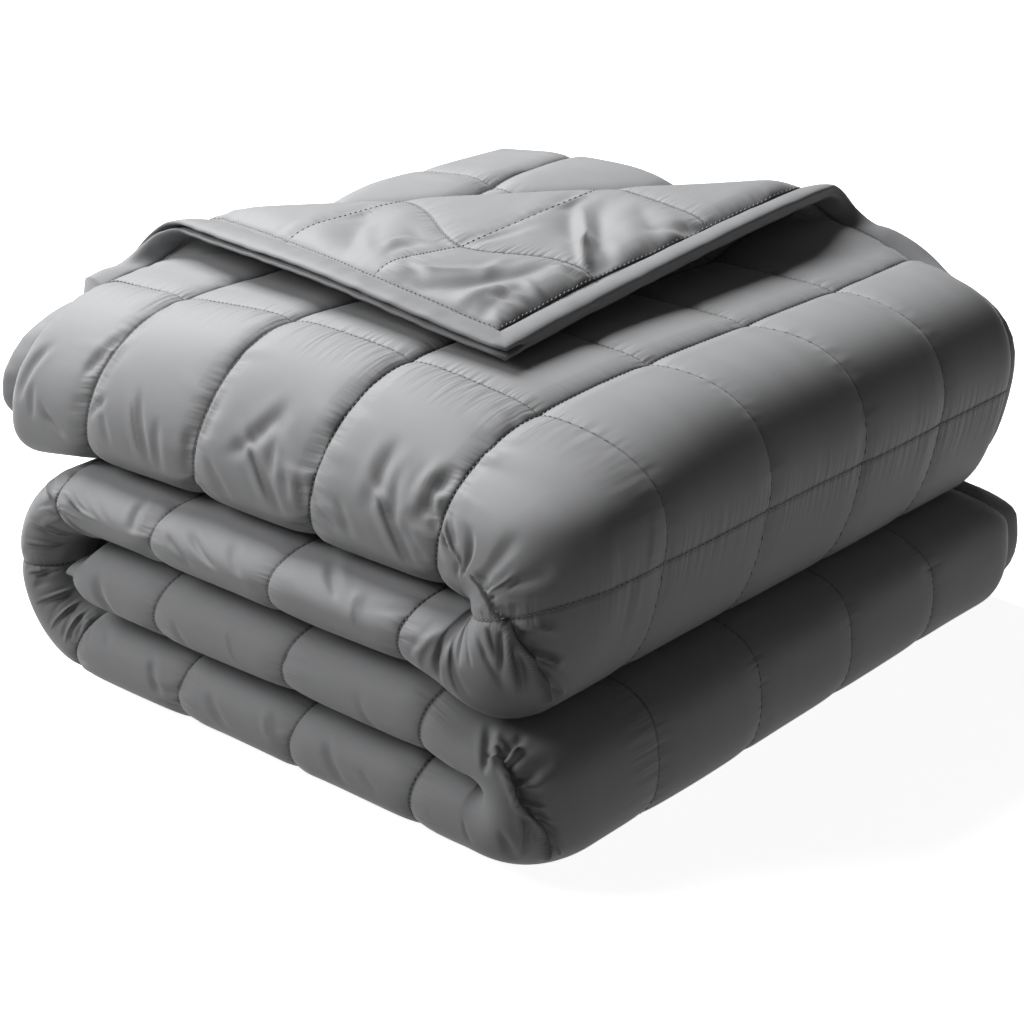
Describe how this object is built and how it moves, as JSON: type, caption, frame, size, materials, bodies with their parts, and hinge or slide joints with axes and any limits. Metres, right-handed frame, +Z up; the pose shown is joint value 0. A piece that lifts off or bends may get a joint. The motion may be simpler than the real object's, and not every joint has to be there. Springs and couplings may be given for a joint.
{
  "type": "folded weighted blanket",
  "caption": "Thick filled blanket, quilted in squares and bound at the edge, folded into a rectangular stack with one corner turned over.",
  "frame": {"origin": "on the surface that the stack rests on, under the middle of its bounding box", "axes": "+Z up; +Y from the folded side towards the open hems; +X towards the two stacked turns"},
  "size_m": [0.55, 0.594, 0.3167],
  "materials": {
    "quilted_cloth": "smooth brushed microfibre in mid grey, matt with a soft sheen, stitched in squares",
    "binding_cloth": "the same grey cloth, folded over the edge and stitched down"
  },
  "bodies": {
    "root": {"blanket": "quilted_cloth", "binding": "binding_cloth"}
  },
  "joints": []
}
